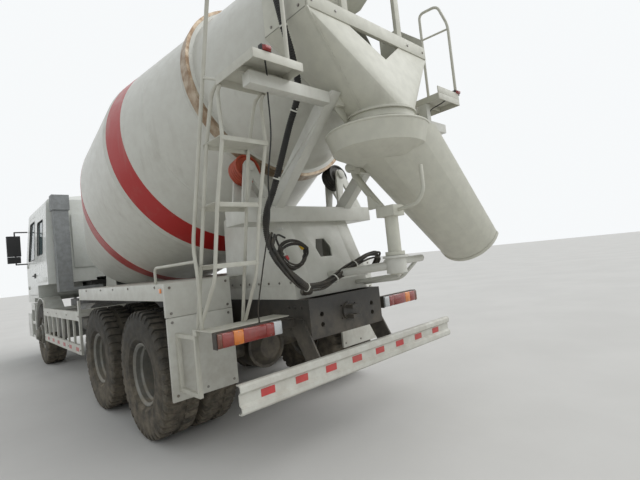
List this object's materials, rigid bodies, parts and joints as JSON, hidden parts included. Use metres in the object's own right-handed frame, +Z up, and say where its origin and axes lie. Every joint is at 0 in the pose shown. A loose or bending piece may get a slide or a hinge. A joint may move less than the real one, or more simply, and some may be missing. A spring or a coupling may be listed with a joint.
{
  "type": "concrete mixer truck",
  "caption": "Cab-over concrete mixer truck: tilted drum on ring and rollers, tilting cab with doors, steered front wheels, twin rear wheels, hopper, funnel and swinging chute.",
  "frame": {"origin": "on the ground, in the middle of the truck's outline", "axes": "+X forward, +Y to the truck's left, +Z up"},
  "size_m": [9.195, 2.96, 3.96],
  "materials": {
    "frame_black": "satin",
    "body_white": "gloss",
    "drum_white": "satin",
    "chute_white": "satin",
    "tyre": "matte",
    "rim": "satin",
    "ring_steel": "worn",
    "roller": "satin",
    "black_plastic": "matte",
    "glass": "clear",
    "trim_grey": "matte",
    "lamp": "gloss",
    "tank": "satin",
    "gear_grey": "satin",
    "intake_grey": "matte",
    "rubber": "matte"
  },
  "bodies": {
    "root": {"chassis_frame": "frame_black", "subframe": "body_white", "rear_bumper": "body_white", "front_bumper": "body_white", "lamps": "lamp", "front_axle": "frame_black", "rear_axles": "frame_black", "bogie_springs": "frame_black", "driveline": "gear_grey", "engine_block": "gear_grey", "fuel_tank": "tank", "air_tanks": "gear_grey", "air_intake": "intake_grey", "side_guards": "body_white", "mudguards": "body_white", "drum_gearbox": "gear_grey", "front_pedestal": "body_white", "rear_pedestal": "body_white", "feed_hopper": "body_white", "discharge_funnel": "body_white", "platforms": "body_white", "water_tank": "body_white", "hoses": "rubber"},
    "cab": {"cab_shell": "body_white", "front_panel": "black_plastic", "cab_glass": "glass", "cab_interior": "trim_grey", "mirrors": "black_plastic"},
    "door_left": {"door_left": "body_white", "door_glass_left": "glass"},
    "door_right": {"door_right": "body_white", "door_glass_right": "glass"},
    "steer_left": {"knuckle_left": "frame_black"},
    "steer_right": {"knuckle_right": "frame_black"},
    "wheel_front_left": {"tyre_front_left": "tyre", "rim_front_left": "rim"},
    "wheel_front_right": {"tyre_front_right": "tyre", "rim_front_right": "rim"},
    "wheel_mid_left": {"tyres_mid_left": "tyre", "rims_mid_left": "rim"},
    "wheel_mid_right": {"tyres_mid_right": "tyre", "rims_mid_right": "rim"},
    "wheel_rear_left": {"tyres_rear_left": "tyre", "rims_rear_left": "rim"},
    "wheel_rear_right": {"tyres_rear_right": "tyre", "rims_rear_right": "rim"},
    "drum": {"drum": "drum_white", "drum_ring": "ring_steel"},
    "roller_left": {"roller_left": "roller"},
    "roller_right": {"roller_right": "roller"},
    "chute_arm": {"chute_arm": "chute_white"},
    "chute": {"chute": "chute_white"}
  },
  "joints": [
    {"name": "cab_tilt", "type": "hinge", "parent": "root", "child": "cab", "pos_m": [4.4355, 0, 1.02], "axis": [0, 1, 0], "range_deg": [0, 50]},
    {"name": "door_left_open", "type": "hinge", "parent": "cab", "child": "door_left", "pos_m": [4.3145, 1.162, 1.3], "axis": [0, 0, -1], "range_deg": [0, 70]},
    {"name": "door_right_open", "type": "hinge", "parent": "cab", "child": "door_right", "pos_m": [4.3145, -1.162, 1.3], "axis": [0, 0, 1], "range_deg": [0, 70]},
    {"name": "steer_left", "type": "hinge", "parent": "root", "child": "steer_left", "pos_m": [3.0975, 0.868, 0.555], "axis": [0, 0, 1], "range_deg": [-35, 35]},
    {"name": "steer_right", "type": "hinge", "parent": "root", "child": "steer_right", "pos_m": [3.0975, -0.868, 0.555], "axis": [0, 0, 1], "range_deg": [-35, 35]},
    {"name": "wheel_front_left_roll", "type": "hinge", "parent": "steer_left", "child": "wheel_front_left", "pos_m": [3.0975, 1.011, 0.555], "axis": [0, 1, 0], "continuous": true},
    {"name": "wheel_front_right_roll", "type": "hinge", "parent": "steer_right", "child": "wheel_front_right", "pos_m": [3.0975, -1.011, 0.555], "axis": [0, 1, 0], "continuous": true},
    {"name": "wheel_mid_left_roll", "type": "hinge", "parent": "root", "child": "wheel_mid_left", "pos_m": [-0.9275, 0.915, 0.555], "axis": [0, 1, 0], "continuous": true},
    {"name": "wheel_mid_right_roll", "type": "hinge", "parent": "root", "child": "wheel_mid_right", "pos_m": [-0.9275, -0.915, 0.555], "axis": [0, 1, 0], "continuous": true},
    {"name": "wheel_rear_left_roll", "type": "hinge", "parent": "root", "child": "wheel_rear_left", "pos_m": [-2.2775, 0.915, 0.555], "axis": [0, 1, 0], "continuous": true},
    {"name": "wheel_rear_right_roll", "type": "hinge", "parent": "root", "child": "wheel_rear_right", "pos_m": [-2.2775, -0.915, 0.555], "axis": [0, 1, 0], "continuous": true},
    {"name": "drum_spin", "type": "hinge", "parent": "root", "child": "drum", "pos_m": [-1.6155, 0, 2.734], "axis": [0.9715, 0, -0.2368], "continuous": true},
    {"name": "roller_left_spin", "type": "hinge", "parent": "root", "child": "roller_left", "pos_m": [-3.14837, 0.5428, 2.21358], "axis": [0.9715, 0, -0.2368], "continuous": true},
    {"name": "roller_right_spin", "type": "hinge", "parent": "root", "child": "roller_right", "pos_m": [-3.14837, -0.5428, 2.21358], "axis": [0.9715, 0, -0.2368], "continuous": true},
    {"name": "chute_swing", "type": "hinge", "parent": "root", "child": "chute_arm", "pos_m": [-4.2125, 0, 1.3], "axis": [0, 0, 1], "range_deg": [-180, 0]},
    {"name": "chute_tilt", "type": "hinge", "parent": "chute_arm", "child": "chute", "pos_m": [-4.2125, -0.1, 2.14], "axis": [-1, 0, 0], "range_deg": [-10, 25]}
  ],
  "couplings": [
    {"joint": "steer_right", "follows": "steer_left", "ratio": 1},
    {"joint": "roller_left_spin", "follows": "drum_spin", "ratio": -7.5333},
    {"joint": "roller_right_spin", "follows": "drum_spin", "ratio": -7.5333}
  ]
}
